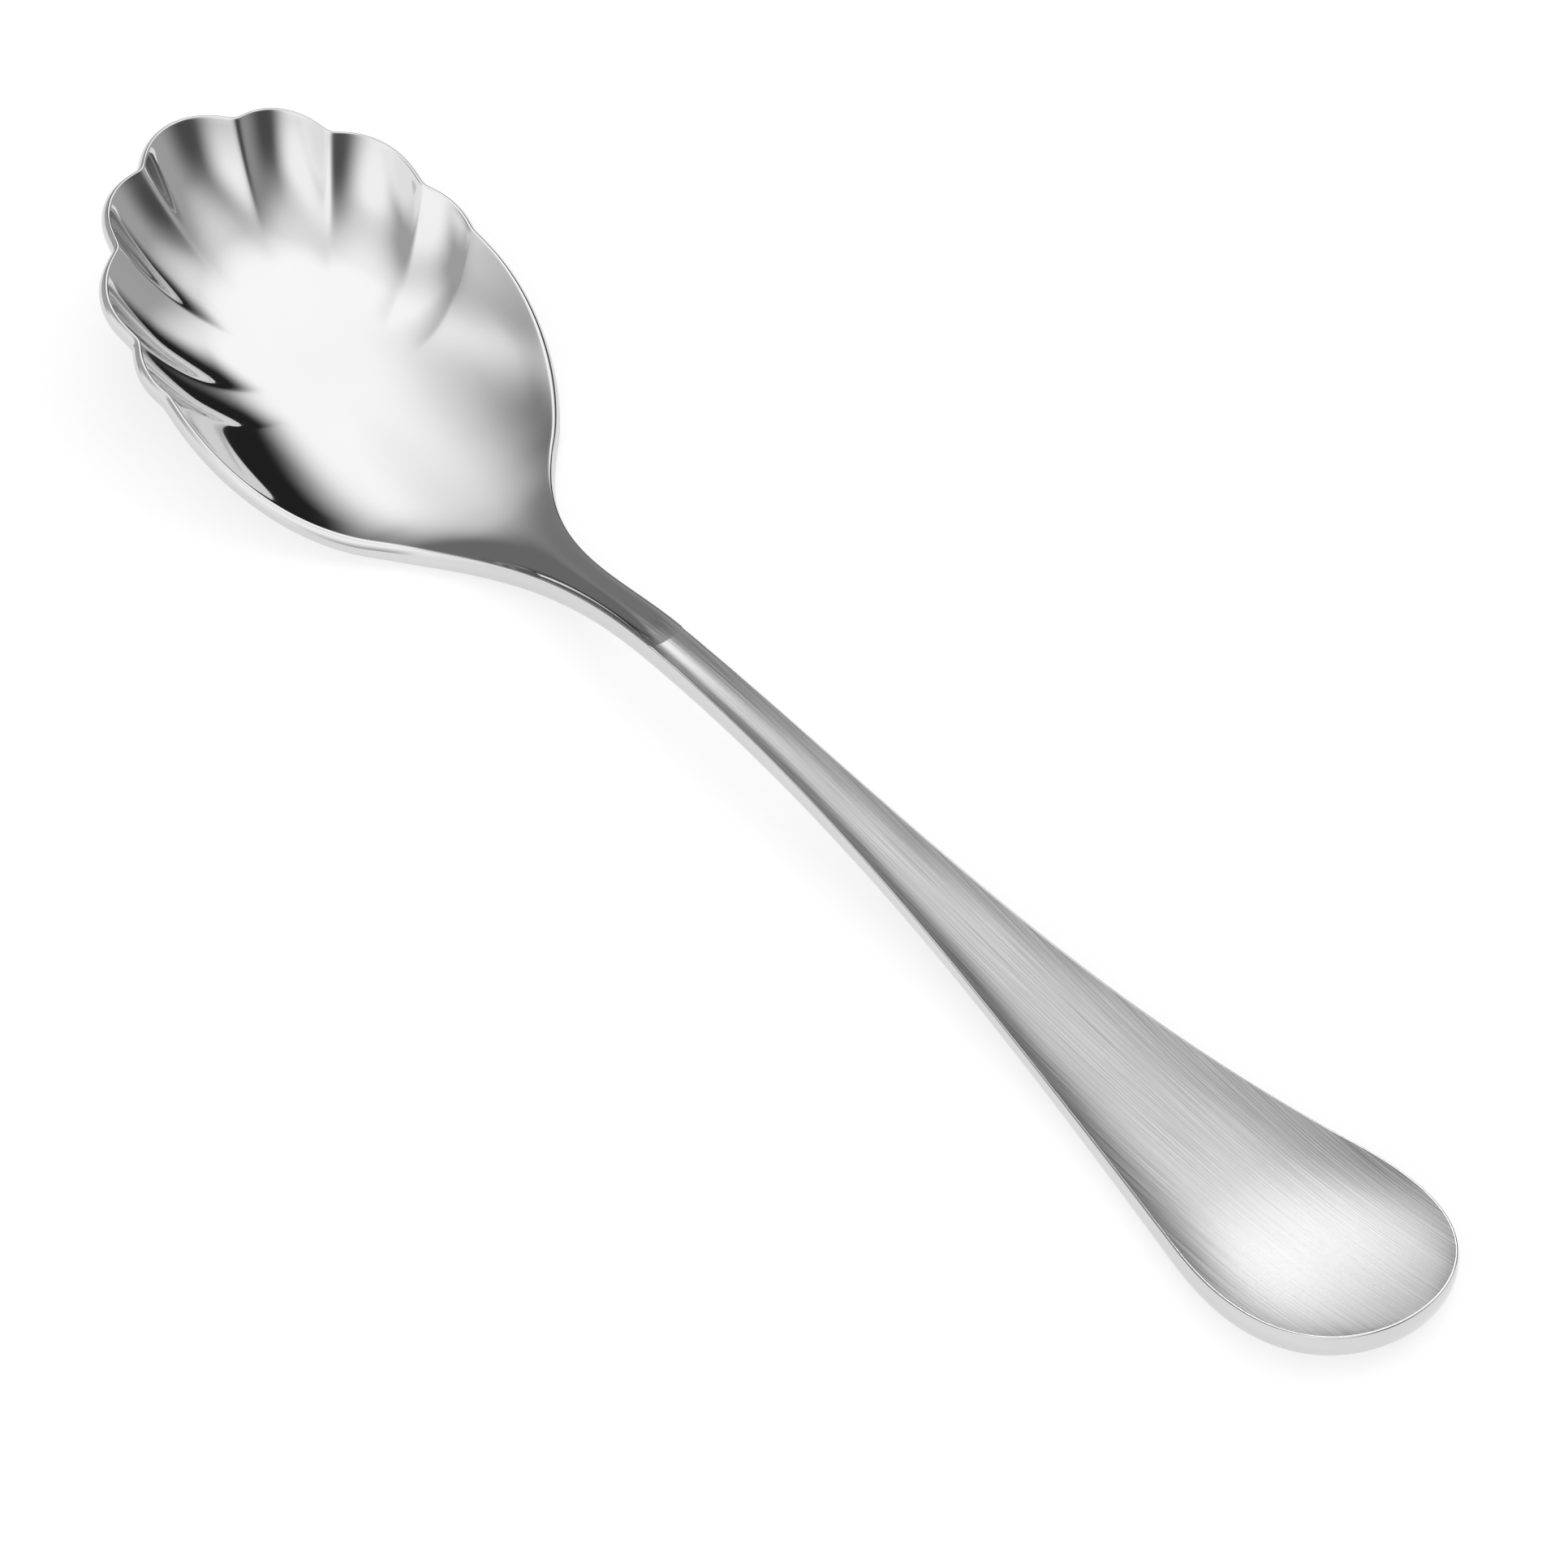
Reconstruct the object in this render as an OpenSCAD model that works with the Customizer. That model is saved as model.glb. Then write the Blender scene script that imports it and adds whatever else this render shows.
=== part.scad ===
// Sugar spoon pressed from one steel blank: a scalloped bowl, a narrow neck and a flared handle.
// It lies at rest. X runs from the bowl's tip to the handle's end, Z is up, the table is at z = 0.
// Stations along the spoon are counted from the bowl's tip, so x = station - length / 2.

/* [Overall] */
// Length from the bowl's tip to the handle's end
length = 153; // [140:1:170]
// How far the middle of the rim and of the handle's edge stands out, which rounds them
edge_round = 0.2; // [0.1:0.05:0.35]

/* [Bowl] */
// Length of the oval that the notches stand on
bowl_length = 41.1; // [36:0.1:46]
// Width of that oval
bowl_width = 32; // [28:0.1:38]
// Depth of the hollow below the middle of the rim
bowl_depth = 5; // [4:0.1:12]
// Fullness of the hollow: more gives a flatter floor and steeper walls
bowl_fullness = 3; // [1.9:0.1:4]
// Height of the rim at the tip above the middle of the rim
tip_rise = 7.2; // [5:0.1:11]
// How far the rim falls from its middle to the shoulders
shoulder_drop = 5.7; // [4:0.1:9]
// Thickness of the metal at the rim
rim_thickness = 1.3; // [1:0.1:2.2]
// Thickness of the metal at the floor
floor_thickness = 1.8; // [1.2:0.1:2.6]

/* [Scallops] */
// How far the lobe at the tip swells past its two notches
lobe_rise = 1.4; // [0.6:0.1:2]
// How far the next lobes on each side swell past their notches
side_lobe_rises = [1.2, 1.3, 0.5];
// How far the plain side behind the last notch swells past it
side_rise = 0.3; // [0.2:0.1:1.2]
// How far the flutes run inwards, as a share of the way to the bowl's middle
flute_reach = 0.38; // [0.3:0.01:0.6]
// Distance along the spoon from a notch to the place on the axis that its flute heads for
flute_sweep = 14; // [6:0.5:18]
// Angle that the lobe at the tip takes
tip_lobe_angle = 36; // [28:0.1:40]
// Angles that the next lobes on each side take
side_lobe_angles = [25.9, 25.7, 15.2];

/* [Neck] */
// Length from the oval to the waist, where polished metal meets satin
neck_length = 21.4; // [16:0.1:27]
// Width at the waist
waist_width = 3.5; // [3:0.1:6]
// Angle on the oval, past its widest place, where the shoulder leaves it
shoulder_angle = 53; // [46:1:60]
// Rise of the edge from the shoulders to the waist
neck_rise = 3.9; // [1:0.1:5]
// Height of the side face at the neck
neck_edge = 1.9; // [1.4:0.1:3]
// How far the underside of the neck bulges below its side faces
neck_crown = 0.7; // [0.4:0.1:2]
// Depth of the hollow along the top of the neck
neck_dish = 0.2; // [0.1:0.05:0.5]

/* [Handle] */
// Width where the rounded end starts
handle_width = 18; // [15:0.1:24]
// Length of the rounded end
end_length = 17.2; // [12:0.1:22]
// How late the handle flares out: 1 gives straight sides
flare = 2.2; // [1.6:0.1:3]
// Height of the side face in the middle of the handle
handle_edge = 1.3; // [0.8:0.1:2]
// Height of the face at the end
end_edge = 2.2; // [1.4:0.1:3]
// How far the underside of the handle bulges below its side faces
handle_crown = 0.9; // [0.3:0.1:1.6]
// Depth of the shallow dish in the handle's top
handle_dish = 0.45; // [0.2:0.05:0.6]
// Distance from the end to the place where the handle touches the table
low_reach = 20.1; // [10:0.1:30]
// How far the underside turns up from there to the end
end_lift = 2.6; // [0.5:0.1:4]

/* [Hidden] */

// Counts of steps in the meshes
lobe_steps = 8;
side_steps = 14;
shoulder_steps = 8;
across_steps = 12;
ring_count = 18;
neck_rings = 6;
handle_rings = 26;
end_rings = 12;

// Shapes of the sections
rim_lean = 0.5;          // outward share of the rim's thickness, because the rim is cut square to the wall
dish_power = 2.4;        // flat in the middle, turning up at the edges
crown_power = 2;
floor_slope = -0.15;     // fall of the floor towards the neck at the bowl's middle
heel_slope = 0.1;        // rise of the floor and the rim where the bowl passes into the neck
waist_slope = 0.04;      // rise of the neck where it passes into the handle
junction_share = 0.45;   // place along the neck where the bowl's grid hands over to cross sections

// Stations along the spoon; the rim's outer edge stands out past the tip of its inner edge
tip = rim_lean * rim_thickness;
bowl_middle = tip + lobe_rise + bowl_length / 2;
bowl_back = bowl_middle + bowl_length / 2;
waist = bowl_back + neck_length;
junction = mix(bowl_back, waist, junction_share);
handle_end = length - edge_round;
end_start = handle_end - end_length;
handle_middle = (waist + handle_end) / 2;
low_place = handle_end - low_reach;

// Curves

function mix(a, b, t) = a + (b - a) * t;

function smooth(t) = let (u = min(max(t, 0), 1)) u * u * (3 - 2 * u);

// A cubic from a to b, each given as [station, value, slope]
function cubic(a, b, station) =
    let (
        span = b[0] - a[0],
        t = (station - a[0]) / span,
        s = smooth(t)
    )
    mix(a[1], b[1], s) + span * t * (1 - t) * (a[2] * (1 - t) - b[2] * t);

function curve_at(knots, station, i = 0) =
    i >= len(knots) - 2 || station <= knots[i + 1][0]
        ? cubic(knots[i], knots[i + 1], station)
        : curve_at(knots, station, i + 1);

// Plan outline

function oval(angle) = [bowl_middle - bowl_length / 2 * cos(angle), bowl_width / 2 * sin(angle)];

function oval_normal(angle) =
    let (n = [-bowl_width * cos(angle), bowl_length * sin(angle)]) n / norm(n);

shoulder_start = oval(90 + shoulder_angle);
shoulder_slope = -bowl_width / bowl_length * tan(shoulder_angle);

function flared(station) =
    let (t = (station - waist) / (end_start - waist))
    mix(waist_width / 2, handle_width / 2, pow(t, flare));

// How much of the section is left along the rounded end, from 1 to 0
function end_share(station) =
    let (u = min(max((station - end_start) / end_length, 0), 1)) sqrt(1 - u * u);

function half_width(station) =
    station < waist
        ? cubic([shoulder_start[0], shoulder_start[1], shoulder_slope], [waist, waist_width / 2, 0], station)
        : flared(station) * end_share(station);

function side_normal(station) =
    let (
        step = 0.01,
        slope = (half_width(station + step) - half_width(station - step)) / (2 * step),
        n = [-slope, 1]
    )
    n / norm(n);

// Heights, counted from the middle of the rim

rim_slope = -(tip_rise + shoulder_drop) / (bowl_back - tip);
rim_knots = [
    [tip, tip_rise, rim_slope],
    [bowl_middle, 0, rim_slope],
    [bowl_back, -shoulder_drop, heel_slope],
    [waist, neck_rise - shoulder_drop, waist_slope]
];

function rim_height(station) = curve_at(rim_knots, station);

edge_knots = [[waist, neck_edge, 0], [handle_middle, handle_edge, 0], [handle_end, end_edge, 0]];
crown_knots = [[waist, neck_crown, 0], [handle_middle, handle_crown, 0], [handle_end, handle_crown, 0]];
dish_knots = [[waist, neck_dish, 0], [handle_middle, handle_dish, 0], [handle_end, handle_dish, 0]];

function edge_thickness(station) =
    station < waist ? neck_edge : curve_at(edge_knots, station);

function crown(station) =
    station < waist ? neck_crown : curve_at(crown_knots, station) * pow(end_share(station), 2);

function dish(station) =
    station < waist ? neck_dish : curve_at(dish_knots, station) * pow(end_share(station), 2);

// Grid of the bowl

notches = [
    tip_lobe_angle / 2,
    tip_lobe_angle / 2 + side_lobe_angles[0],
    tip_lobe_angle / 2 + side_lobe_angles[0] + side_lobe_angles[1],
    tip_lobe_angle / 2 + side_lobe_angles[0] + side_lobe_angles[1] + side_lobe_angles[2]
];

// Swell of the rim at a place along a lobe, from one notch (0) to the next (1)
function lobe_swell(rise, t) = rise * 4 * t * (1 - t);

// The plain side swells fast behind the last notch (0) and has faded out at the shoulder (1);
// 27 / 4 brings its highest place to side_rise
function side_swell(t) = side_rise * 27 / 4 * t * pow(1 - t, 2);

// Rim points are [station, y, swell, normal along, normal across]
tip_points = [
    for (k = [0 : lobe_steps / 2 - 1])
        let (t = k / lobe_steps, angle = 2 * t * notches[0])
        concat(oval(angle), lobe_swell(lobe_rise, 0.5 + t), oval_normal(angle))
];
lobe_points = [
    for (lobe = [0 : len(notches) - 2], k = [0 : lobe_steps - 1])
        let (t = k / lobe_steps, angle = mix(notches[lobe], notches[lobe + 1], t))
        concat(oval(angle), lobe_swell(side_lobe_rises[lobe], t), oval_normal(angle))
];
side_points = [
    for (k = [0 : side_steps])
        let (t = k / side_steps, angle = mix(notches[len(notches) - 1], 90 + shoulder_angle, t))
        concat(oval(angle), side_swell(t), oval_normal(angle))
];
shoulder_points = [
    for (k = [1 : shoulder_steps])
        let (station = mix(shoulder_start[0], junction, k / shoulder_steps))
        concat([station, half_width(station), 0], side_normal(station))
];
half_rim = concat(tip_points, lobe_points, side_points, shoulder_points);

function mirrored(p) = [p[0], -p[1], p[2], p[3], -p[4]];

// Places across a section, from -1 to 1, closer together at the edges
across = [for (j = [0 : across_steps]) sin(90 * (2 * j / across_steps - 1))];

open_rim = concat([for (i = [len(half_rim) - 1 : -1 : 1]) mirrored(half_rim[i])], half_rim);
rim_last = len(open_rim) - 1;
border = concat(
    open_rim,
    [for (j = [across_steps - 1 : -1 : 1]) [junction, across[j] * half_width(junction), 0, 0, 0]]
);
border_count = len(border);

// 0 in the front half of the bowl, 1 where the bowl has become the neck
function neck_share(station) = pow(smooth((station - bowl_middle) / (junction - bowl_middle)), 2);

// Half width of the outline without its lobes, behind the widest place
function back_half_width(station) =
    station < shoulder_start[0]
        ? bowl_width / 2 * sqrt(1 - pow(2 * (station - bowl_middle) / bowl_length, 2))
        : half_width(station);

// Place across the outline, from 0 on the axis to 1 at the edge
function across_place(station, y) = min(abs(y) / back_half_width(station), 1);

function neck_drop(station, y) =
    station <= bowl_middle ? 0
        : neck_share(station) * neck_dish * (1 - pow(across_place(station, y), dish_power));

// Height of the floor along the axis: straight in front, curving up into the neck behind
floor_knots = [[bowl_middle, -bowl_depth, floor_slope], [bowl_back, -shoulder_drop, heel_slope]];

function floor_height(station) =
    station < bowl_middle
        ? floor_slope * (station - bowl_middle) - bowl_depth
        : curve_at(floor_knots, station);

// Depth of the hollow below the rim, with walls all round the front and along both sides behind
function hollow(station, y) =
    let (
        reach = norm([2 * (station - bowl_middle) / bowl_length, 2 * y / bowl_width]),
        place = station < bowl_middle ? min(reach, 1) : across_place(station, y)
    )
    station < bowl_back
        ? (rim_height(station) - floor_height(station)) * (1 - pow(place, bowl_fullness))
        : 0;

function top_height(station, y) = rim_height(station) - hollow(station, y) - neck_drop(station, y);

function metal(station, y, way) =
    let (wall = mix(floor_thickness, rim_thickness, way * way))
    station <= bowl_middle ? wall
        : mix(
            wall,
            neck_edge + neck_crown * (1 - pow(across_place(station, y), crown_power)) - neck_drop(station, y),
            neck_share(station)
        );

// Station on the way from the middle (0) to a rim point (1): the flutes leave the rim towards the
// neck and curve in, and the rays that end in the neck are straight
function ray_station(rim_station, way) =
    let (
        along = rim_station - bowl_middle,
        lead = (along + flute_sweep) * (1 - smooth(along / (junction - bowl_middle)))
    )
    bowl_middle + way * (along + lead * (1 - way));

function inner_point(p, way) =
    let (
        station = ray_station(p[0], way),
        y = way * p[1],
        swell = p[2] * smooth((way - 1 + flute_reach) / flute_reach)
    )
    [station + swell * p[3], y + swell * p[4], top_height(station, y)];

function outer_point(p, way) =
    let (
        thickness = metal(ray_station(p[0], way), way * p[1], way),
        lean = rim_lean * (1 - neck_share(p[0])) * pow(way, bowl_fullness - 1)
    )
    inner_point(p, way) + thickness * [lean * p[3], lean * p[4], -sqrt(1 - lean * lean)];

function rim_middle_point(p) =
    let (
        lean = rim_lean * (1 - neck_share(p[0])),
        upright = sqrt(1 - lean * lean)
    )
    (inner_point(p, 1) + outer_point(p, 1)) / 2 + edge_round * [upright * p[3], upright * p[4], lean];

ways = [for (k = [1 : ring_count]) k / ring_count];
back_point = border[rim_last + across_steps / 2];

// The table touches the lowest place of the bowl's floor and of the handle's underside
table = min([for (way = concat(0, ways)) outer_point(back_point, way)[2]]);

waist_keel = rim_height(waist) - neck_edge - neck_crown;
keel_knots = [
    [waist, waist_keel, waist_slope],
    [low_place, table, 0],
    [handle_end, table + end_lift, 2 * end_lift / low_reach]
];

function edge_height(station) =
    station < waist
        ? rim_height(station)
        : curve_at(keel_knots, station) + edge_thickness(station) + crown(station);

// Cross sections of the neck and the handle

function placed(p) = [p[0] - length / 2, p[1], p[2] - table];

function section_top(station) =
    [
        for (v = across)
            let (drop = dish(station) * (1 - pow(abs(v), dish_power)))
            [station, v * half_width(station), edge_height(station) - drop]
    ];

function section_bottom(station) =
    [
        for (v = across)
            let (drop = edge_thickness(station) + crown(station) * (1 - pow(abs(v), crown_power)))
            [station, v * half_width(station), edge_height(station) - drop]
    ];

function section_side(station, side) =
    let (n = side_normal(station))
    [
        station + edge_round * n[0],
        side * (half_width(station) + edge_round * n[1]),
        edge_height(station) - edge_thickness(station) / 2
    ];

function reversed(list) = [for (i = [len(list) - 1 : -1 : 0]) list[i]];

// One loop round a section: top from left to right, right side, underside back, left side
function section(station) =
    concat(
        section_top(station),
        [section_side(station, 1)],
        reversed(section_bottom(station)),
        [section_side(station, -1)]
    );

section_count = 2 * across_steps + 4;

// Faces

function quad(a, b, c, d) = [[a, b, c], [a, c, d]];

function flat(lists) = [for (list = lists) for (item = list) item];

// Faces between two loops of points
function loop_faces(near, far) =
    flat([
        for (i = [0 : len(near) - 1])
            let (next = (i + 1) % len(near))
            quad(near[i], near[next], far[next], far[i])
    ]);

// A section closed off, seen from the handle's end
function section_cap(loop) =
    let (
        top = across_steps,
        right = top + 1,
        low = right + 1,
        left = section_count - 1
    )
    concat(
        flat([
            for (j = [0 : top - 1])
                quad(loop[j], loop[j + 1], loop[low + top - j - 1], loop[low + top - j])
        ]),
        [[loop[top], loop[right], loop[low]], [loop[left], loop[0], loop[left - 1]]]
    );

function turned(faces) = [for (f = faces) reversed(f)];

// Bowl with its polished neck
module bowl() {
    sheet_count = ring_count * border_count + 1;
    inner_sheet = concat(
        [inner_point(back_point, 0)],
        [for (way = ways, p = border) inner_point(p, way)]
    );
    outer_sheet = concat(
        [outer_point(back_point, 0)],
        [for (way = ways, p = border) outer_point(p, way)]
    );
    rim_line = [for (p = open_rim) rim_middle_point(p)];
    rim_base = 2 * sheet_count;
    neck_base = rim_base + rim_last + 1;
    neck_sections = [
        for (k = [1 : neck_rings])
            section(mix(junction, waist, k / neck_rings))
    ];

    function sheet_index(ring, i) = 1 + (ring - 1) * border_count + i % border_count;

    inner_faces = concat(
        [for (i = [0 : border_count - 1]) [0, sheet_index(1, i), sheet_index(1, i + 1)]],
        flat([
            for (ring = [1 : ring_count - 1], i = [0 : border_count - 1])
                quad(
                    sheet_index(ring, i), sheet_index(ring + 1, i),
                    sheet_index(ring + 1, i + 1), sheet_index(ring, i + 1)
                )
        ])
    );
    outer_faces = [for (f = turned(inner_faces)) [for (i = f) i + sheet_count]];

    function inner_rim(i) = sheet_index(ring_count, i);
    function outer_rim(i) = sheet_count + sheet_index(ring_count, i);

    rim_faces = flat([
        for (i = [0 : rim_last - 1])
            concat(
                quad(inner_rim(i), rim_base + i, rim_base + i + 1, inner_rim(i + 1)),
                quad(rim_base + i, outer_rim(i), outer_rim(i + 1), rim_base + i + 1)
            )
    ]);

    // The loop at the junction is made of points that the two sheets and the rim already have
    junction_inner = concat([inner_rim(0)], [for (j = [1 : across_steps]) inner_rim(border_count - j)]);
    junction_outer = concat([outer_rim(0)], [for (j = [1 : across_steps]) outer_rim(border_count - j)]);
    junction_loop = concat(
        junction_inner, [rim_base + rim_last],
        reversed(junction_outer), [rim_base]
    );

    function neck_loop(k) =
        k == 0 ? junction_loop
            : [for (i = [0 : section_count - 1]) neck_base + (k - 1) * section_count + i];

    neck_faces = flat([for (k = [0 : neck_rings - 1]) loop_faces(neck_loop(k), neck_loop(k + 1))]);

    all_points = concat(inner_sheet, outer_sheet, rim_line, flat(neck_sections));
    waist_faces = section_cap(neck_loop(neck_rings));
    color("lightgray")
        polyhedron(
            points = [for (p = all_points) placed(p)],
            faces = concat(inner_faces, outer_faces, rim_faces, neck_faces, waist_faces)
        );
}

// Satin handle from the waist to the rounded end
module handle() {
    stations = concat(
        [for (k = [0 : handle_rings]) mix(waist, end_start, k / handle_rings)],
        [for (k = [1 : end_rings - 1]) end_start + end_length * sin(90 * k / end_rings)]
    );
    last = len(stations) - 1;
    end_base = len(stations) * section_count;
    end_top = [handle_end, 0, edge_height(handle_end)];
    end_points = [
        end_top,
        end_top + [edge_round, 0, -end_edge / 2],
        end_top - [0, 0, end_edge]
    ];

    function loop(k) = [for (i = [0 : section_count - 1]) k * section_count + i];

    // The last section closes on the three points at the middle of the end
    function end_point_of(i) =
        i <= across_steps ? end_base
            : i == across_steps + 1 || i == section_count - 1 ? end_base + 1
            : end_base + 2;

    end_faces = flat([
        for (i = [0 : section_count - 1])
            let (
                a = last * section_count + i,
                b = last * section_count + (i + 1) % section_count,
                end_a = end_point_of(i),
                end_b = end_point_of((i + 1) % section_count)
            )
            end_a == end_b ? [[a, b, end_a]] : quad(a, b, end_b, end_a)
    ]);

    all_points = concat(flat([for (station = stations) section(station)]), end_points);
    color("darkgray")
        polyhedron(
            points = [for (p = all_points) placed(p)],
            faces = concat(
                turned(section_cap(loop(0))),
                flat([for (k = [0 : last - 1]) loop_faces(loop(k), loop(k + 1))]),
                end_faces
            )
        );
}

bowl();
handle();
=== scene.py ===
import math

import bmesh
import bpy
import numpy as np
from mathutils import Matrix, Vector


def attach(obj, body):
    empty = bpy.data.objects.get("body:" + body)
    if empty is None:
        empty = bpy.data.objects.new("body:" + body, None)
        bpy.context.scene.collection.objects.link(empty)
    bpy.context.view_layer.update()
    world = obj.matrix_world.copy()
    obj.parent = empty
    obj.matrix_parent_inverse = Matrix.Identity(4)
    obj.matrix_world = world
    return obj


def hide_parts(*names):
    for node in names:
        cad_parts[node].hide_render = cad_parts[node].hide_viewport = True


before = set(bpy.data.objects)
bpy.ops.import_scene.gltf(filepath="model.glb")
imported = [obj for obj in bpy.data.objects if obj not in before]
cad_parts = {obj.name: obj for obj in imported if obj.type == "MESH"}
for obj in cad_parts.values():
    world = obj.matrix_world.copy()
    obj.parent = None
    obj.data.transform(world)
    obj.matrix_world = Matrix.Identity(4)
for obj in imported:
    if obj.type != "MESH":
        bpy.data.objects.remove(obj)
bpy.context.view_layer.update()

MM = 0.001      # metres in a millimetre

# Sizes of the spoon in millimetres, the same as in the part's source
LENGTH = 153.0
EDGE_ROUND = 0.2
BOWL_LENGTH = 41.1
BOWL_WIDTH = 32.0
BOWL_DEPTH = 5.0
BOWL_FULLNESS = 3.0
TIP_RISE = 7.2
SHOULDER_DROP = 5.7
RIM_THICKNESS = 1.3
FLOOR_THICKNESS = 1.8
LOBE_RISE = 1.4
SIDE_LOBE_RISES = (1.2, 1.3, 0.5)
SIDE_RISE = 0.3
FLUTE_REACH = 0.38
FLUTE_SWEEP = 14.0
TIP_LOBE_ANGLE = 36.0
SIDE_LOBE_ANGLES = (25.9, 25.7, 15.2)
NECK_LENGTH = 21.4
WAIST_WIDTH = 3.5
SHOULDER_ANGLE = 53.0
NECK_RISE = 3.9
NECK_EDGE = 1.9
NECK_CROWN = 0.7
NECK_DISH = 0.2
HANDLE_WIDTH = 18.0
END_LENGTH = 17.2
FLARE = 2.2
HANDLE_EDGE = 1.3
END_EDGE = 2.2
HANDLE_CROWN = 0.9
HANDLE_DISH = 0.45
LOW_REACH = 20.1
END_LIFT = 2.6
RIM_LEAN = 0.5
DISH_POWER = 2.4
CROWN_POWER = 2.0
FLOOR_SLOPE = -0.15
HEEL_SLOPE = 0.1
WAIST_SLOPE = 0.04
JUNCTION_SHARE = 0.45

# What the looks add: rounded edges, flutes scooped a little deeper between crisp ridges,
# and a deeper dish that leaves a lip along both edges of the neck and the handle
FILLET = 0.15
RIDGE_AT_RIM = 0.25
RIDGE_INSIDE = 0.15
SCOOP = 0.36
SCOOP_START = 0.36
SCOOP_DEEPEST = 0.82
NECK_LIP = 0.4
HANDLE_LIP = 0.5
NECK_LIP_POWER = 2.2
HANDLE_LIP_POWER = 4.0

# How finely the surface is divided, and the small lengths that its making allows for
RIM_STEPS = 40
WAY_STEPS = 56
NECK_STEPS = 40
HANDLE_STEPS = 70
ACROSS_STEPS = 25
CORNER_STEPS = 7
AXIS_STEPS = 200
NOTCH_CROWDING = 1.5        # draws the last lobe's steps together by its notch
SLOPE_STEP = 0.005          # millimetres
CLEAR_OF_WAIST = 0.01       # millimetres
CORNER_SHARE = 0.4          # the most of an edge's height that one rounded corner takes
NO_WIDTH = 1e-6             # millimetres
NO_HEIGHT = 1e-9            # metres
SAME_PLACE = 1e-7           # metres
NO_EDGE = 1e-8              # metres

# Stations along the spoon, counted from the bowl's tip
TIP = RIM_LEAN * RIM_THICKNESS
BOWL_MIDDLE = TIP + LOBE_RISE + BOWL_LENGTH / 2
BOWL_BACK = BOWL_MIDDLE + BOWL_LENGTH / 2
WAIST = BOWL_BACK + NECK_LENGTH
JUNCTION = BOWL_BACK + JUNCTION_SHARE * NECK_LENGTH
HANDLE_END = LENGTH - EDGE_ROUND
END_START = HANDLE_END - END_LENGTH
HANDLE_MIDDLE = (WAIST + HANDLE_END) / 2
LOW_PLACE = HANDLE_END - LOW_REACH
SHOULDER_START = BOWL_MIDDLE + BOWL_LENGTH / 2 * math.sin(math.radians(SHOULDER_ANGLE))


# Curves

def mix(a, b, t):
    return a + (b - a) * t


def hump(t):
    """0 at both ends and 1 halfway."""
    return 4 * t * (1 - t)


def smooth(t):
    u = np.clip(t, 0.0, 1.0)
    return u * u * (3 - 2 * u)


def curve(knots, station):
    """A smooth curve through knots of [station, value, slope]."""
    station = np.asarray(station, float)
    result = np.zeros_like(station)
    for i, (a, b) in enumerate(zip(knots[:-1], knots[1:])):
        low = -np.inf if i == 0 else a[0]
        high = np.inf if i == len(knots) - 2 else b[0]
        inside = (station >= low) & (station <= high)
        span = b[0] - a[0]
        t = (station[inside] - a[0]) / span
        bend = span * t * (1 - t) * (a[2] * (1 - t) - b[2] * t)
        result[inside] = mix(a[1], b[1], t * t * (3 - 2 * t)) + bend
    return result


# Plan outline

def oval(angle):
    return BOWL_MIDDLE - BOWL_LENGTH / 2 * np.cos(angle), BOWL_WIDTH / 2 * np.sin(angle)


def oval_normal(angle):
    along, across = -BOWL_WIDTH * np.cos(angle), BOWL_LENGTH * np.sin(angle)
    size = np.hypot(along, across)
    return along / size, across / size


def shoulder_half(station):
    angle = math.radians(SHOULDER_ANGLE)
    slope = -BOWL_WIDTH / BOWL_LENGTH * math.tan(angle)
    start = [SHOULDER_START, BOWL_WIDTH / 2 * math.cos(angle), slope]
    return curve([start, [WAIST, WAIST_WIDTH / 2, 0]], station)


def flared(station):
    t = np.clip((station - WAIST) / (END_START - WAIST), 0, None)
    return mix(WAIST_WIDTH / 2, HANDLE_WIDTH / 2, t ** FLARE)


def end_share(station):
    u = np.clip((station - END_START) / END_LENGTH, 0, 1)
    return np.sqrt(1 - u * u)


def half_width(station):
    """Half the width of the outline without its lobes."""
    station = np.asarray(station, float)
    along = np.clip(2 * (station - BOWL_MIDDLE) / BOWL_LENGTH, -1, 1)
    bowl = BOWL_WIDTH / 2 * np.sqrt(1 - along * along)
    behind = np.where(station < WAIST, shoulder_half(station), flared(station) * end_share(station))
    return np.where(station < SHOULDER_START, bowl, behind)


# Heights, counted from the middle of the rim

RIM_SLOPE = -(TIP_RISE + SHOULDER_DROP) / (BOWL_BACK - TIP)
RIM_KNOTS = [
    [TIP, TIP_RISE, RIM_SLOPE],
    [BOWL_MIDDLE, 0, RIM_SLOPE],
    [BOWL_BACK, -SHOULDER_DROP, HEEL_SLOPE],
    [WAIST, NECK_RISE - SHOULDER_DROP, WAIST_SLOPE],
]
FLOOR_KNOTS = [[BOWL_MIDDLE, -BOWL_DEPTH, FLOOR_SLOPE], [BOWL_BACK, -SHOULDER_DROP, HEEL_SLOPE]]
EDGE_KNOTS = [[WAIST, NECK_EDGE, 0], [HANDLE_MIDDLE, HANDLE_EDGE, 0], [HANDLE_END, END_EDGE, 0]]
CROWN_KNOTS = [[WAIST, NECK_CROWN, 0], [HANDLE_MIDDLE, HANDLE_CROWN, 0], [HANDLE_END, HANDLE_CROWN, 0]]
DISH_KNOTS = [[WAIST, NECK_DISH, 0], [HANDLE_MIDDLE, HANDLE_DISH, 0], [HANDLE_END, HANDLE_DISH, 0]]


def edge_thickness(station):
    return np.where(station < WAIST, NECK_EDGE, curve(EDGE_KNOTS, station))


def crown(station):
    return np.where(station < WAIST, NECK_CROWN, curve(CROWN_KNOTS, station) * end_share(station) ** 2)


def dish(station):
    return np.where(station < WAIST, NECK_DISH, curve(DISH_KNOTS, station) * end_share(station) ** 2)


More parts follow.
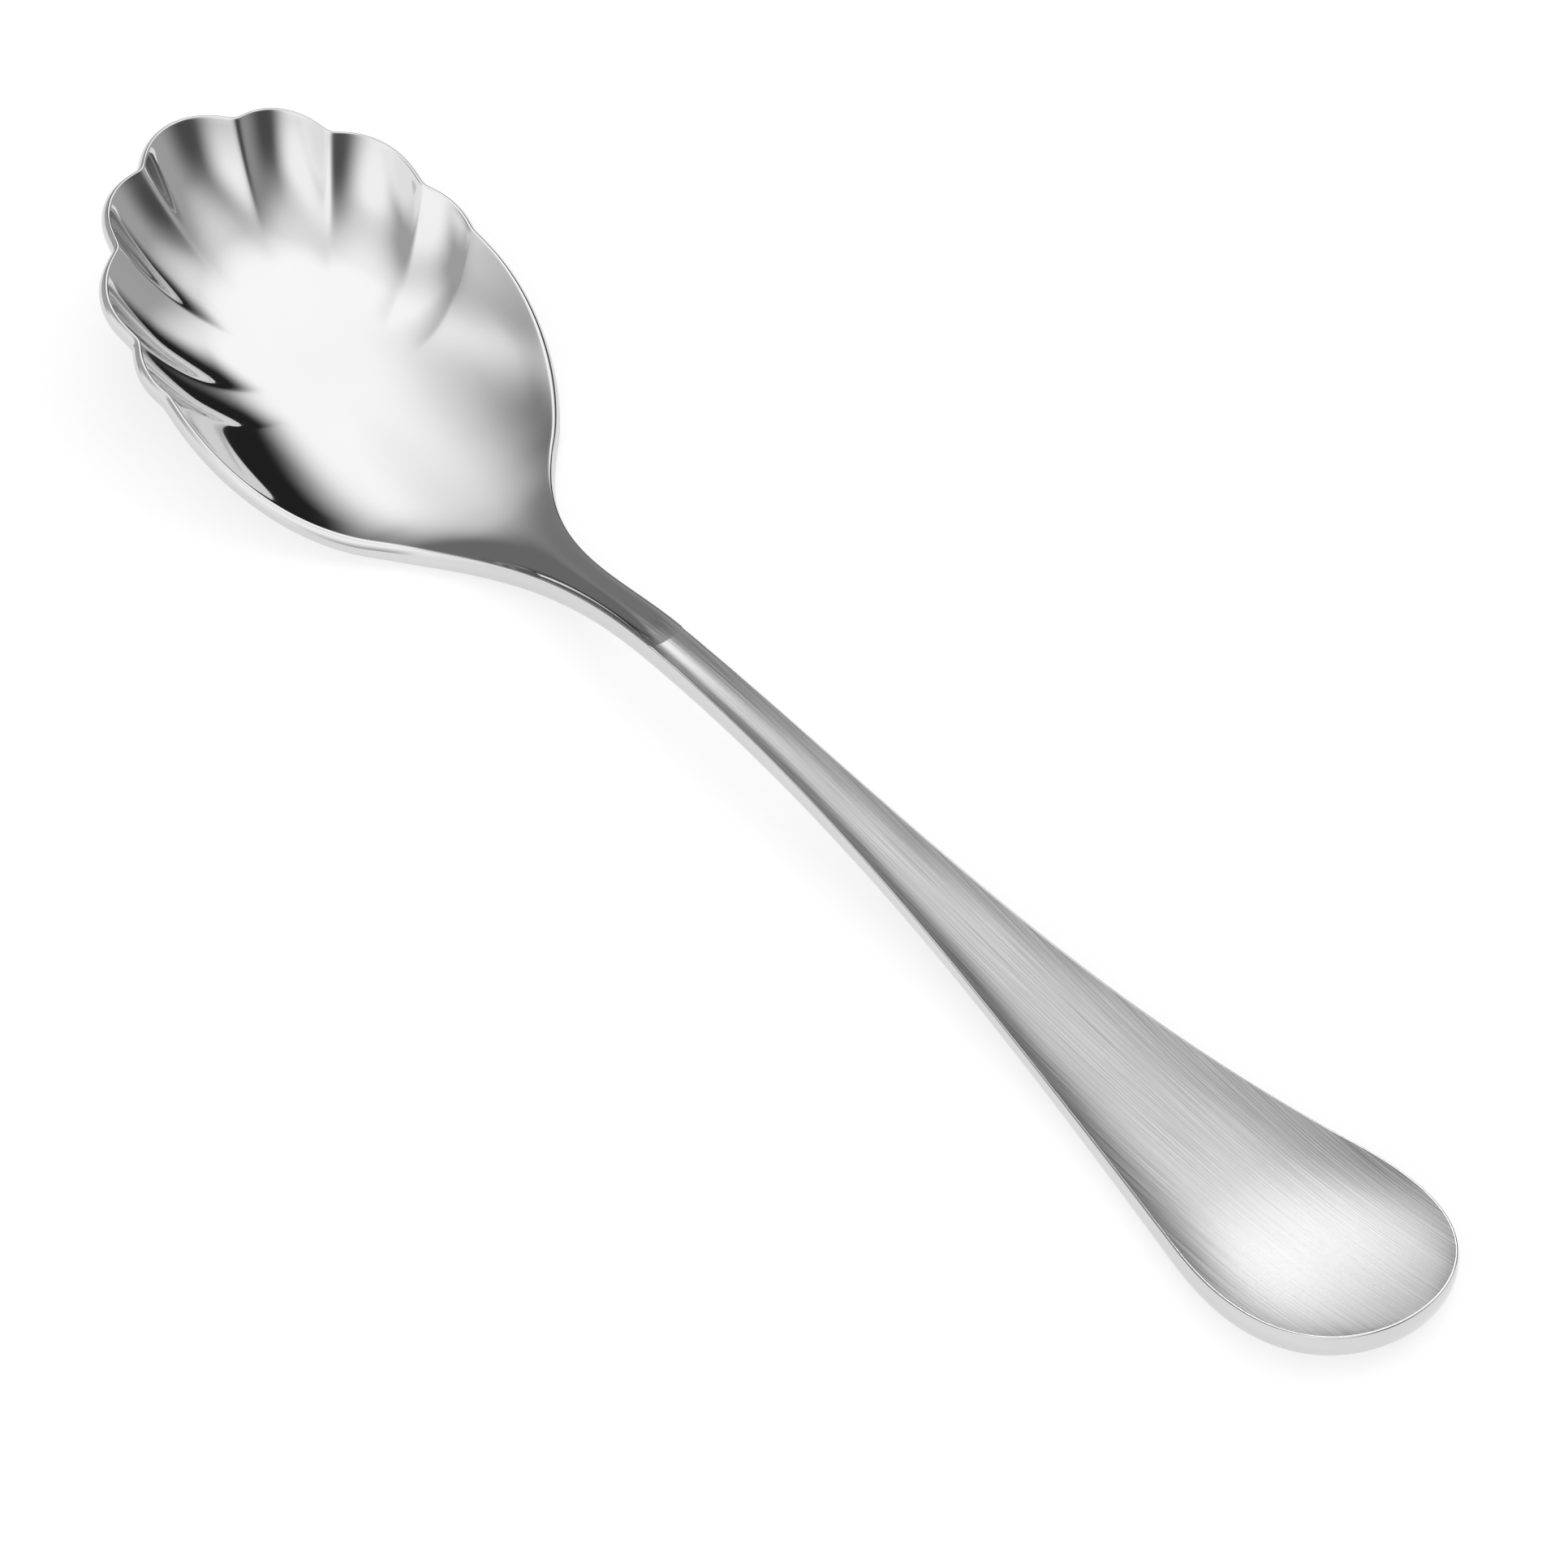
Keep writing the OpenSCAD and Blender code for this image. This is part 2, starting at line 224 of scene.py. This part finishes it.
def neck_share(station):
    """0 in the front half of the bowl, 1 where the bowl has become the neck."""
    return smooth((station - BOWL_MIDDLE) / (JUNCTION - BOWL_MIDDLE)) ** 2


def across_place(station, y):
    return np.clip(np.abs(y) / np.maximum(half_width(station), NO_WIDTH), 0, 1)


def floor_height(station):
    """Height of the bowl's floor along the axis: straight in front, easing into the neck behind."""
    ahead = FLOOR_SLOPE * (station - BOWL_MIDDLE) - BOWL_DEPTH
    return np.where(station < BOWL_MIDDLE, ahead, curve(FLOOR_KNOTS, station))


def hollow(station, y):
    """Depth of the bowl below its rim, with walls all round the front and along both sides behind."""
    reach = np.hypot(2 * (station - BOWL_MIDDLE) / BOWL_LENGTH, 2 * y / BOWL_WIDTH)
    place = np.where(station < BOWL_MIDDLE, np.minimum(reach, 1), across_place(station, y))
    depth = np.where(station < BOWL_BACK, curve(RIM_KNOTS, station) - floor_height(station), 0)
    return depth * (1 - place ** BOWL_FULLNESS)


def ray_station(rim_station, way):
    """Station on the way from the bowl's middle (0) to its rim (1), which the flutes leave swept back."""
    along = rim_station - BOWL_MIDDLE
    lead = (along + FLUTE_SWEEP) * (1 - smooth(along / (JUNCTION - BOWL_MIDDLE)))
    return BOWL_MIDDLE + way * (along + lead * (1 - way))


def bowl_top(station, y):
    drop = neck_share(station) * NECK_DISH * (1 - across_place(station, y) ** DISH_POWER)
    return curve(RIM_KNOTS, station) - hollow(station, y) - drop


def bowl_metal(station, y, way):
    wall = mix(FLOOR_THICKNESS, RIM_THICKNESS, way * way)
    place = across_place(station, y)
    drop = neck_share(station) * NECK_DISH * (1 - place ** DISH_POWER)
    neck = NECK_EDGE + NECK_CROWN * (1 - place ** CROWN_POWER) - drop
    return mix(wall, neck, neck_share(station))


axis_ways = np.linspace(0, 1, AXIS_STEPS)
axis_stations = mix(BOWL_MIDDLE, JUNCTION, axis_ways)
axis_y = 0 * axis_ways
axis_under = bowl_top(axis_stations, axis_y) - bowl_metal(axis_stations, axis_y, axis_ways)
TABLE = axis_under.min()
KEEL_KNOTS = [
    [WAIST, NECK_RISE - SHOULDER_DROP - NECK_EDGE - NECK_CROWN, WAIST_SLOPE],
    [LOW_PLACE, TABLE, 0],
    [HANDLE_END, TABLE + END_LIFT, 2 * END_LIFT / LOW_REACH],
]


def edge_height(station):
    behind = curve(KEEL_KNOTS, station) + edge_thickness(station) + crown(station)
    return np.where(station < WAIST, curve(RIM_KNOTS, station), behind)


def lip_drop(station, y):
    """How far the top lies below the lips along its edges."""
    share = smooth((station - WAIST) / (HANDLE_MIDDLE - WAIST))
    height = mix(NECK_LIP, HANDLE_LIP, share) * neck_share(station) * end_share(station) ** 2
    return height * (1 - across_place(station, y) ** mix(NECK_LIP_POWER, HANDLE_LIP_POWER, share))


def section_top(station, y):
    dished = dish(station) * (1 - across_place(station, y) ** DISH_POWER)
    return edge_height(station) - dished - lip_drop(station, y)


def section_bottom(station, y):
    bulge = crown(station) * (1 - across_place(station, y) ** CROWN_POWER)
    return edge_height(station) - edge_thickness(station) - bulge


# One side of the outline: stations, half widths, normals, and for the bowl each lobe's rise and arch

def half_rim(steps):
    notches = np.radians(np.cumsum([TIP_LOBE_ANGLE / 2, *SIDE_LOBE_ANGLES]))
    t = np.linspace(0.5, 1, steps // 2, endpoint=False)
    angles = [mix(-notches[0], notches[0], t)]
    rises = [LOBE_RISE + 0 * t]
    arches = [hump(t)]
    t = np.linspace(0, 1, steps, endpoint=False)
    for low, high, rise in zip(notches[:-1], notches[1:], SIDE_LOBE_RISES):
        angles.append(mix(low, high, t))
        rises.append(rise + 0 * t)
        arches.append(hump(t))
    t = np.linspace(0, 1, 2 * steps) ** NOTCH_CROWDING
    angles.append(mix(notches[-1], math.radians(90 + SHOULDER_ANGLE), t))
    rises.append(SIDE_RISE + 0 * t)
    # The last lobe is steep at its notch and runs out into the shoulder; 27 / 4 brings its peak to 1
    arches.append(27 / 4 * t * (1 - t) ** 2)
    angle = np.concatenate(angles)
    rim = [*oval(angle), *oval_normal(angle), np.concatenate(rises), np.concatenate(arches)]

    station = np.linspace(SHOULDER_START, JUNCTION, steps)[1:]
    shoulder = [station, shoulder_half(station), *side_normal(station), 0 * station, 0 * station]
    return np.hstack([np.array(rim), np.array(shoulder)])


def side_normal(station):
    slope = (half_width(station + SLOPE_STEP) - half_width(station - SLOPE_STEP)) / (2 * SLOPE_STEP)
    size = np.hypot(slope, 1)
    return -slope / size, 1 / size


def side_of_handle(steps):
    """Stations, half widths and normals of one side of the handle, round the end to its middle."""
    station = mix(WAIST, END_START, np.linspace(0, 1, 2 * steps, endpoint=False))
    straight = [station, half_width(station), *side_normal(np.maximum(station, WAIST + CLEAR_OF_WAIST))]
    turn = np.linspace(0, math.pi / 2, steps)
    station = END_START + END_LENGTH * np.sin(turn)
    width = flared(station) * np.cos(turn)
    run, fall = END_LENGTH * np.cos(turn), np.gradient(width, turn, edge_order=2)
    fall[-1] = -flared(station[-1])
    size = np.hypot(run, fall)
    end = [station, width, -fall / size, run / size]
    return np.hstack([np.array(straight), np.array(end)])


# Patches of the surface, each a grid of points

def points(station, y, z):
    station, y, z = np.broadcast_arrays(station, y, z)
    return np.stack([station - LENGTH / 2, y, z - TABLE], -1) * MM


def bezier(a, b, c, steps):
    t = np.linspace(0, 1, steps)[:, None, None]
    return (1 - t) ** 2 * a + 2 * t * (1 - t) * b + t ** 2 * c


def edge_strip(above, top, bottom, below, outwards):
    """Rows over an edge: a rounded corner, a slightly bulging face and another rounded corner."""
    height = np.linalg.norm(bottom - top, axis=-1, keepdims=True)
    corner = np.minimum(CORNER_SHARE, FILLET * MM / np.maximum(height, NO_HEIGHT))

    def face(v):
        return mix(top, bottom, v) + EDGE_ROUND * MM * hump(v) * outwards

    first = bezier(above, top, face(corner), CORNER_STEPS)
    middle = np.stack([face(mix(corner, 1 - corner, v)) for v in np.linspace(0, 1, CORNER_STEPS)])
    last = bezier(face(1 - corner), bottom, below, CORNER_STEPS)
    return np.concatenate([first, middle[1:-1], last])


ACROSS = np.sin(math.pi / 2 * np.linspace(-1, 1, ACROSS_STEPS))

# How satin a patch is: the satin of the top ends within the first rows of the rounded corner
POLISHED = np.zeros((1, 1))
SATIN = np.ones((1, 1))
SATIN_FADE = [1, 0.6, 0.2]
EDGE_ROWS = 3 * CORNER_STEPS - 2
SATIN_EDGE = np.array(SATIN_FADE + [0] * (EDGE_ROWS - len(SATIN_FADE)))[:, None]


def lobes(rises, arches, fade):
    """How far the rim or a flute swells: a sharp notch at the rim, a soft ridge further in."""
    softness = mix(RIDGE_INSIDE, RIDGE_AT_RIM, fade)
    rounded = np.sqrt(arches ** 2 + softness ** 2) - softness
    return fade * rises * rounded / (np.sqrt(1 + softness ** 2) - softness)


def scoop(rises, arches, way):
    """How much deeper a flute is than the plain bowl on the way from the middle (0) to the rim (1)."""
    inwards = smooth((way - SCOOP_START) / (SCOOP_DEEPEST - SCOOP_START))
    outwards = 1 - smooth((way - SCOOP_DEEPEST) / (1 - SCOOP_DEEPEST))
    return SCOOP / LOBE_RISE * inwards * outwards * lobes(rises, arches, 1.0)


def bowl_patches():
    half = half_rim(RIM_STEPS)
    mirrored = half[:, :0:-1] * np.array([1, -1, 1, -1, 1, 1])[:, None]
    rim = np.hstack([mirrored, half])
    s, y, ns, ny, rise, arch = rim

    # The sheets end a fillet's width inside the outline, and across the neck
    edge_s, edge_y = s - FILLET * ns, y - FILLET * ny
    back_y = ACROSS[-2:0:-1] * edge_y[-1]
    none = 0 * back_y
    border_s = np.concatenate([edge_s, edge_s[-1] + none])
    border_y = np.concatenate([edge_y, back_y])
    border_ns, border_ny = np.concatenate([ns, none]), np.concatenate([ny, none])
    border_rise, border_arch = np.concatenate([rise, none]), np.concatenate([arch, none])
    border_lean = np.concatenate([RIM_LEAN * (1 - neck_share(s)), none])

    way = np.linspace(0, 1, WAY_STEPS)[:, None]
    fade = smooth((way - 1 + FLUTE_REACH) / FLUTE_REACH)
    swell = lobes(border_rise, border_arch, fade)
    sheet_s, sheet_y = ray_station(border_s, way), way * border_y
    inner = points(sheet_s + swell * border_ns, sheet_y + swell * border_ny, bowl_top(sheet_s, sheet_y))
    lean = border_lean * way ** (BOWL_FULLNESS - 1)
    metal = bowl_metal(sheet_s, sheet_y, way)
    outer = inner + MM * np.stack(
        [metal * lean * border_ns, metal * lean * border_ny, -metal * np.sqrt(1 - lean ** 2)], -1)
    inner[..., 2] -= MM * (scoop(border_rise, border_arch, way) + lip_drop(sheet_s, sheet_y))

    # The rim's edge joins the two sheets
    count = len(s)
    swell = lobes(rise, arch, 1.0)
    lean = RIM_LEAN * (1 - neck_share(s))
    upright = np.sqrt(1 - lean ** 2)
    top = points(s + swell * ns, y + swell * ny, bowl_top(s, y))
    metal = MM * bowl_metal(s, y, 1.0)
    bottom = top + np.stack([metal * lean * ns, metal * lean * ny, -metal * upright], -1)
    outwards = np.stack([upright * ns, upright * ny, lean], -1)
    strip = edge_strip(inner[-1][:count], top, bottom, outer[-1][:count], outwards)

    neck = np.linspace(JUNCTION, WAIST, NECK_STEPS)
    sheets = [(close_loop(inner), POLISHED), (close_loop(outer), POLISHED), (strip, POLISHED)]
    return sheets + section_patches(neck, half_width(neck), *side_normal(neck))


def close_loop(grid):
    return np.concatenate([grid, grid[:, :1]], 1)


def section_patches(s, width, ns, ny):
    """Top, underside and both edges between cross sections."""
    edge_s, edge_y = s - FILLET * ns, width - FILLET * ny
    y = edge_y[:, None] * ACROSS
    station = edge_s[:, None] + 0 * y
    top = points(station, y, section_top(station, y))
    under = points(station, y, section_bottom(station, y))
    patches = [(top, SATIN), (under, POLISHED)]
    for side, column in ((1, -1), (-1, 0)):
        upper = points(s, side * width, edge_height(s))
        lower = points(s, side * width, edge_height(s) - edge_thickness(s))
        outwards = np.stack([ns, side * ny, 0 * ns], -1)
        patches.append((edge_strip(top[:, column], upper, lower, under[:, column], outwards), SATIN_EDGE))
    return patches


def handle_patches():
    return section_patches(*side_of_handle(HANDLE_STEPS))


def add_patches(mesh, patches, piece):
    for grid, satin in patches:
        rows, columns = grid.shape[:2]
        satin = np.broadcast_to(satin, (rows, columns))
        corners = [[mesh.verts.new(grid[i, j]) for j in range(columns)] for i in range(rows)]
        for i in range(rows):
            for j in range(columns):
                corners[i][j][satin_layer] = satin[i, j]
        for i in range(rows - 1):
            for j in range(columns - 1):
                face = mesh.faces.new(
                    (corners[i][j], corners[i][j + 1], corners[i + 1][j + 1], corners[i + 1][j]))
                face[piece_layer] = piece


whole = bmesh.new()
piece_layer = whole.faces.layers.int.new("piece")
satin_layer = whole.verts.layers.float.new("satin")
add_patches(whole, bowl_patches(), 0)
add_patches(whole, handle_patches(), 1)
bmesh.ops.remove_doubles(whole, verts=whole.verts, dist=SAME_PLACE)
bmesh.ops.dissolve_degenerate(whole, edges=whole.edges, dist=NO_EDGE)
bmesh.ops.recalc_face_normals(whole, faces=whole.faces)
whole.normal_update()
open_edges = sum(1 for e in whole.edges if not e.is_manifold)
volume = round(whole.calc_volume() / MM ** 3, 1)
print("spoon surface:", len(whole.verts), "points,", len(whole.faces), "faces,", open_edges, "open edges,",
      "volume", volume, "mm3")


UV_SPAN = 0.2               # metres across the layout
UV_MIDDLE = 0.5


def make_piece(name, piece):
    """One piece of the spoon, with the normals of the whole so that no seam shows where two pieces meet."""
    numbers, coordinates, normals, satin, faces = {}, [], [], [], []
    for face in whole.faces:
        if face[piece_layer] != piece:
            continue
        for v in face.verts:
            if v not in numbers:
                numbers[v] = len(coordinates)
                coordinates.append(v.co[:])
                normals.append(v.normal[:])
                satin.append(v[satin_layer])
        faces.append([numbers[v] for v in face.verts])
    mesh = bpy.data.meshes.new(name)
    mesh.from_pydata(coordinates, [], faces)
    mesh.shade_smooth()
    mesh.normals_split_custom_set_from_vertices(normals)
    mesh.attributes.new("satin", "FLOAT", "POINT").data.foreach_set("value", satin)
    # Laid out from above with U across the spoon, which is the way the satin's grain spreads the light
    layout = mesh.uv_layers.new(name="from_above")
    corners = np.array([coordinates[loop.vertex_index] for loop in mesh.loops])
    layout.data.foreach_set("uv", (corners[:, [1, 0]] / UV_SPAN + UV_MIDDLE).ravel())
    skin = bpy.data.objects.new(name, mesh)
    bpy.context.scene.collection.objects.link(skin)
    return skin


bowl = make_piece("bowl_skin", 0)
handle = make_piece("handle_skin", 1)
whole.free()

for piece, node, slot in ((bowl, "bowl", "polished_steel"), (handle, "handle", "satin_steel")):
    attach(piece, "root")
    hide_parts(node)


# Materials

POLISHED_ROUGHNESS = (0.04, 0.06)
SATIN_ROUGHNESS = (0.3, 0.4)
POLISHED_GREY = (0.63, 0.67)
SATIN_GREY = (0.37, 0.63)
FINISH_LINE = -0.0138       # where the polish of the neck gives way to satin
FINISH_RAGGED = 0.0016      # how far the ragged line strays
FINISH_BLEND = 0.001        # half the width over which the one turns into the other
RAGGED_SCALE = (60, 3500, 0)
GRAIN_SCALE = (90, 9000, 0)
WEAR_SCALE = (60, 90, 90)
ANISOTROPY = 0.6
SCRATCH_DEPTH = 0.00001
NOISE_LOW, NOISE_HIGH = 0.3, 0.7


def noise_along(tree, scale, detail):
    """Noise over an object, with a scale per metre along, across and up."""
    place = tree.nodes.new("ShaderNodeTexCoord")
    stretch = tree.nodes.new("ShaderNodeMapping")
    stretch.inputs["Scale"].default_value = scale
    tree.links.new(place.outputs["Object"], stretch.inputs["Vector"])
    noise = tree.nodes.new("ShaderNodeTexNoise")
    noise.inputs["Scale"].default_value = 1
    noise.inputs["Detail"].default_value = detail
    tree.links.new(stretch.outputs["Vector"], noise.inputs["Vector"])
    return noise.outputs["Fac"]


def ranged(tree, value, low, high, to_low=0.0, to_high=1.0, kind="LINEAR"):
    node = tree.nodes.new("ShaderNodeMapRange")
    node.interpolation_type = kind
    tree.links.new(value, node.inputs["Value"])
    node.inputs["From Min"].default_value = low
    node.inputs["From Max"].default_value = high
    node.inputs["To Min"].default_value = to_low
    node.inputs["To Max"].default_value = to_high
    return node.outputs["Result"]


def blended(tree, share, first, second):
    node = tree.nodes.new("ShaderNodeMix")
    tree.links.new(share, node.inputs["Factor"])
    tree.links.new(first, node.inputs["A"])
    tree.links.new(second, node.inputs["B"])
    return node.outputs["Result"]


def combined(tree, operation, first, second):
    node = tree.nodes.new("ShaderNodeMath")
    node.operation = operation
    tree.links.new(first, node.inputs[0])
    tree.links.new(second, node.inputs[1])
    return node.outputs["Value"]


def steel(name):
    """Stainless steel: a mirror finish, and satin brushed lengthwise where the mesh says so."""
    material = bpy.data.materials.new(name)
    material.use_nodes = True
    tree = material.node_tree
    shader = tree.nodes["Principled BSDF"]
    shader.inputs["Metallic"].default_value = 1
    shader.inputs["Anisotropic"].default_value = ANISOTROPY

    # The satin starts at a ragged line across the neck
    place = tree.nodes.new("ShaderNodeTexCoord")
    parts = tree.nodes.new("ShaderNodeSeparateXYZ")
    tree.links.new(place.outputs["Object"], parts.inputs["Vector"])
    ragged_noise = noise_along(tree, RAGGED_SCALE, 2)
    ragged = ranged(tree, ragged_noise, NOISE_LOW, NOISE_HIGH, -FINISH_RAGGED, FINISH_RAGGED)
    along = combined(tree, "ADD", parts.outputs["X"], ragged)
    finish = ranged(
        tree, along, FINISH_LINE - FINISH_BLEND, FINISH_LINE + FINISH_BLEND, kind="SMOOTHSTEP")
    marked = tree.nodes.new("ShaderNodeAttribute")
    marked.attribute_name = "satin"
    satin = combined(tree, "MULTIPLY", marked.outputs["Fac"], finish)

    grain = noise_along(tree, GRAIN_SCALE, 3)
    wear = noise_along(tree, WEAR_SCALE, 2)
    roughness = blended(
        tree, satin,
        ranged(tree, wear, NOISE_LOW, NOISE_HIGH, *POLISHED_ROUGHNESS),
        ranged(tree, grain, NOISE_LOW, NOISE_HIGH, *SATIN_ROUGHNESS))
    grey = blended(
        tree, satin,
        ranged(tree, wear, NOISE_LOW, NOISE_HIGH, *POLISHED_GREY),
        ranged(tree, grain, NOISE_LOW, NOISE_HIGH, *SATIN_GREY))
    tree.links.new(roughness, shader.inputs["Roughness"])
    tree.links.new(grey, shader.inputs["Base Color"])

    scratches = tree.nodes.new("ShaderNodeBump")
    scratches.inputs["Distance"].default_value = SCRATCH_DEPTH
    tree.links.new(satin, scratches.inputs["Strength"])
    tree.links.new(grain, scratches.inputs["Height"])
    tree.links.new(scratches.outputs["Normal"], shader.inputs["Normal"])

    across = tree.nodes.new("ShaderNodeTangent")
    across.direction_type = "UV_MAP"
    across.uv_map = "from_above"
    tree.links.new(across.outputs["Tangent"], shader.inputs["Tangent"])
    return material


bowl.data.materials.append(steel("polished_steel"))
handle.data.materials.append(steel("satin_steel"))


# Stage, light and camera

FLOOR_HALF = 3
FLOOR_ROUGHNESS = 0.9
FLOOR_TONE = (0.59, 0.61)
FLOOR_SCALE = (20, 20, 20)
FLOOR_GLOW = 0.56           # the floor is a lit table, so that only a faint shadow shows on it

floor_mesh = bpy.data.meshes.new("floor")
floor_corners = [(FLOOR_HALF * x, FLOOR_HALF * y, 0) for x, y in ((-1, -1), (1, -1), (1, 1), (-1, 1))]
floor_mesh.from_pydata(floor_corners, [], [(0, 1, 2, 3)])
floor = bpy.data.objects.new("floor", floor_mesh)
bpy.context.scene.collection.objects.link(floor)
floor_material = bpy.data.materials.new("floor")
floor_material.use_nodes = True
floor_tree = floor_material.node_tree
floor_shader = floor_tree.nodes["Principled BSDF"]
floor_shader.inputs["Roughness"].default_value = FLOOR_ROUGHNESS
floor_shader.inputs["Specular IOR Level"].default_value = 0
floor_noise = noise_along(floor_tree, FLOOR_SCALE, 2)
floor_tone = ranged(floor_tree, floor_noise, NOISE_LOW, NOISE_HIGH, *FLOOR_TONE)
floor_tree.links.new(floor_tone, floor_shader.inputs["Base Color"])
floor_shader.inputs["Emission Color"].default_value = (1, 1, 1, 1)
floor_shader.inputs["Emission Strength"].default_value = FLOOR_GLOW
floor_mesh.materials.append(floor_material)


# The studio is a grey room with a few soft white panels and dark flags. Each is given by its
# direction in degrees, the angles from its middle where it starts and ends to fade, and its brightness

ROOM = 0.5
MAIN_LIGHT = (115, 65, 20, 55, 1.4)      # high behind the spoon, seen in the bowl's floor
FRONT_CARD = (-90, 0, 30, 45, 1.1)       # low in front, left of the camera
DARK_BACK = (115, 0, 25, 45, 0.02)       # the dark side of the room, seen in the near wall
DARK_RIGHT = (10, 20, 5, 45, 0.1)        # on the camera's right
CAMERA_CARD = (-50, 45, 10, 45, 1.3)     # around the camera
DARK_LEFT = (180, 45, 15, 35, 0.25)      # on the camera's left, seen in the wall by the neck
DARK_LOW = (145, 20, 10, 25, 0.2)        # low behind the spoon, on the left
PANELS = (MAIN_LIGHT, FRONT_CARD, DARK_BACK, DARK_RIGHT, CAMERA_CARD, DARK_LEFT, DARK_LOW)


def towards(azimuth, elevation):
    a, e = math.radians(azimuth), math.radians(elevation)
    return (math.cos(a) * math.cos(e), math.sin(a) * math.cos(e), math.sin(e))


def studio_world():
    world = bpy.data.worlds.new("studio")
    world.use_nodes = True
    tree = world.node_tree
    direction = tree.nodes.new("ShaderNodeTexCoord").outputs["Generated"]
    room = tree.nodes.new("ShaderNodeValue")
    room.outputs[0].default_value = ROOM
    light = room.outputs[0]
    for azimuth, elevation, inner, outer, brightness in PANELS:
        facing = tree.nodes.new("ShaderNodeVectorMath")
        facing.operation = "DOT_PRODUCT"
        facing.inputs[1].default_value = towards(azimuth, elevation)
        tree.links.new(direction, facing.inputs[0])
        angle = tree.nodes.new("ShaderNodeMath")
        angle.operation = "ARCCOSINE"
        tree.links.new(facing.outputs["Value"], angle.inputs[0])
        share = ranged(
            tree, angle.outputs["Value"], math.radians(inner), math.radians(outer), 1.0, 0.0, "SMOOTHSTEP")
        panel = tree.nodes.new("ShaderNodeMix")
        panel.inputs["B"].default_value = brightness
        tree.links.new(share, panel.inputs["Factor"])
        tree.links.new(light, panel.inputs["A"])
        light = panel.outputs["Result"]
    background = tree.nodes["Background"]
    tree.links.new(light, background.inputs["Color"])
    return world


bpy.context.scene.world = studio_world()

# A soft spot that brightens the handle alone, towards its end
SPOT_RADIUS = 0.09
SPOT_CONE = 25
SPOT_POWER = 1.5
SPOT_DIRECTION = (140, 36)
SPOT_DISTANCE = 0.5
LIT_PLACE = Vector((0.06, 0, 0.003))

spot_data = bpy.data.lights.new("handle_spot", "SPOT")
spot_data.shadow_soft_size = SPOT_RADIUS
spot_data.spot_size = math.radians(SPOT_CONE)
spot_data.spot_blend = 1
spot_data.energy = SPOT_POWER
spot = bpy.data.objects.new("handle_spot", spot_data)
spot.location = LIT_PLACE + SPOT_DISTANCE * Vector(towards(*SPOT_DIRECTION))
spot.rotation_euler = (LIT_PLACE - spot.location).to_track_quat("-Z", "Y").to_euler()
lit_by_spot = bpy.data.collections.new("lit_by_handle_spot")
lit_by_spot.objects.link(handle)
spot.light_linking.receiver_collection = lit_by_spot
bpy.context.scene.collection.objects.link(spot)

# The camera as fitted to the photo: where it stands seen from its target, its roll and its focal length
AZIMUTH = math.radians(46.159)
ELEVATION = math.radians(47.096)
ROLL = math.radians(4.1879)
DISTANCE = 0.77685
PHOTO_WIDTH = 1932          # pixels
FOCAL_PIXELS = 11976.2
SENSOR = 36
TARGET = Vector((0.0019986, 0.0008767, 0.0))

back = Vector((
    math.sin(AZIMUTH) * math.cos(ELEVATION),
    -math.cos(AZIMUTH) * math.cos(ELEVATION),
    math.sin(ELEVATION),
))
level = Vector((math.cos(AZIMUTH), math.sin(AZIMUTH), 0))
upwards = back.cross(level)
right = level * math.cos(ROLL) + upwards * math.sin(ROLL)
up = upwards * math.cos(ROLL) - level * math.sin(ROLL)
camera_data = bpy.data.cameras.new("camera")
camera_data.sensor_width = SENSOR
camera_data.lens = FOCAL_PIXELS / PHOTO_WIDTH * SENSOR
camera_data.clip_start = 0.05
camera_data.clip_end = 20
camera = bpy.data.objects.new("camera", camera_data)
turned = Matrix((right, up, back)).transposed().to_4x4()
camera.matrix_world = Matrix.Translation(TARGET + back * DISTANCE) @ turned
bpy.context.scene.collection.objects.link(camera)
bpy.context.scene.camera = camera
bpy.context.scene.view_settings.view_transform = "Standard"
